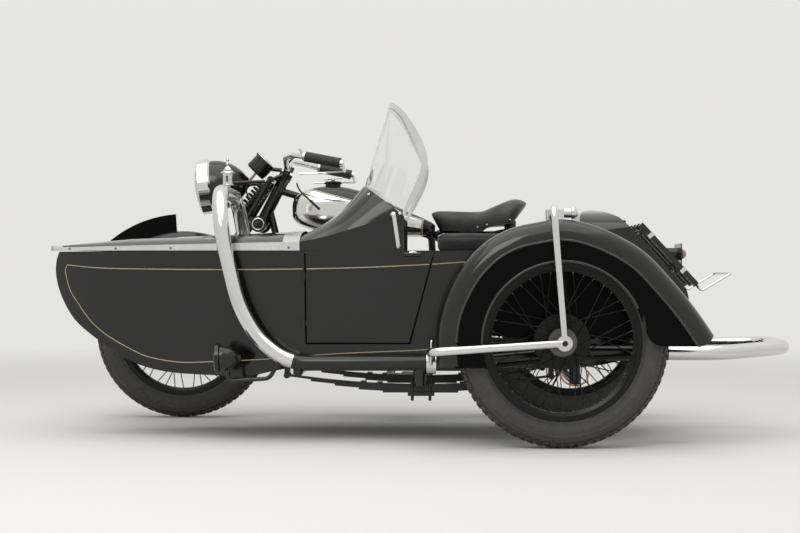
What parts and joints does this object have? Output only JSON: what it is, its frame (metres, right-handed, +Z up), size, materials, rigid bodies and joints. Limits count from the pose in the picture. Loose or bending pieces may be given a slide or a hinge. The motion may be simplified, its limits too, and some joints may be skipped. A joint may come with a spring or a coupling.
{
  "type": "sidecar motorcycle",
  "caption": "Vintage motorcycle with a boat-shaped touring sidecar on its left: girder fork, vee engine, windscreen, door, boot rack and wire wheels.",
  "frame": {"origin": "on the ground under the middle of the overall box", "axes": "+X forward, +Y to the left, towards the sidecar, +Z up"},
  "size_m": [2.593, 1.6776, 1.1679],
  "materials": {
    "body_black": "gloss",
    "enamel_black": "gloss",
    "engine_alloy": "satin",
    "barrel_iron": "matt",
    "chain_steel": "oiled",
    "chrome_plate": "polished",
    "tyre_rubber": "matt",
    "wheel_enamel": "gloss",
    "tank_enamel": "gloss",
    "lamp_enamel": "gloss",
    "lamp_glass": "clear",
    "hood_cloth": "satin",
    "spring_steel": "satin",
    "rack_steel": "gloss",
    "lamp_brass": "polished",
    "plate_black": "satin",
    "saddle_leather": "satin",
    "seat_leather": "satin",
    "screen_glass": "clear"
  },
  "bodies": {
    "outfit": {"carburettor": "engine_alloy", "crankcase": "engine_alloy", "cylinders": "barrel_iron", "drive_chain": "chain_steel", "exhaust_system": "chrome_plate", "fog_lamp": "enamel_black", "footrests": "engine_alloy", "fuel_tank": "tank_enamel", "gearbox": "engine_alloy", "hood_roll": "hood_cloth", "hoop": "chrome_plate", "leaf_springs": "spring_steel", "marker_lamps": "lamp_brass", "motorcycle_frame": "enamel_black", "nose_deck": "body_black", "oil_tank": "enamel_black", "primary_case": "enamel_black", "rear_bumper": "chrome_plate", "rear_mudguard": "enamel_black", "rear_plate_and_lamp": "plate_black", "saddle": "saddle_leather", "screen_frame": "chrome_plate", "screen_glass": "screen_glass", "scuttle": "body_black", "seat": "seat_leather", "sidecar_chassis": "enamel_black", "sidecar_hull": "body_black", "sidecar_mudguard": "body_black", "tail": "body_black", "wheel_outrigger": "chrome_plate"},
    "steering": {"fork_girders": "enamel_black", "handlebar": "chrome_plate", "headlamp": "lamp_enamel", "headlamp_lens": "lamp_glass", "speedometer": "chrome_plate", "front_mudguard": "enamel_black"},
    "front_wheel": {"front_tyre": "tyre_rubber", "front_wire_wheel": "wheel_enamel"},
    "rear_wheel": {"rear_tyre": "tyre_rubber", "rear_wire_wheel": "wheel_enamel"},
    "sidecar_wheel": {"sidecar_tyre": "tyre_rubber", "sidecar_wire_wheel": "wheel_enamel"},
    "door": {"door": "body_black"},
    "boot_lid": {"boot_lid": "body_black", "luggage_rack": "rack_steel"}
  },
  "joints": [
    {"name": "steering", "type": "hinge", "parent": "outfit", "child": "steering", "pos_m": [0.5225, -0.45, 0.945], "axis": [-0.454, 0, 0.891], "range_deg": [-30, 30]},
    {"name": "front_wheel_spin", "type": "hinge", "parent": "steering", "child": "front_wheel", "pos_m": [0.9225, -0.45, 0.343], "axis": [0, 1, 0], "continuous": true},
    {"name": "rear_wheel_spin", "type": "hinge", "parent": "outfit", "child": "rear_wheel", "pos_m": [-0.5975, -0.45, 0.343], "axis": [0, 1, 0], "continuous": true},
    {"name": "sidecar_wheel_spin", "type": "hinge", "parent": "outfit", "child": "sidecar_wheel", "pos_m": [-0.4815, 0.7, 0.343], "axis": [0, 1, 0], "continuous": true},
    {"name": "door_swing", "type": "hinge", "parent": "outfit", "child": "door", "pos_m": [0.3725, 0.5, 0.5], "axis": [0, 0, -1], "range_deg": [0, 70]},
    {"name": "boot_lid_swing", "type": "hinge", "parent": "outfit", "child": "boot_lid", "pos_m": [-0.72027, 0.19, 0.74263], "axis": [0, 1, 0], "range_deg": [0, 70]}
  ]
}
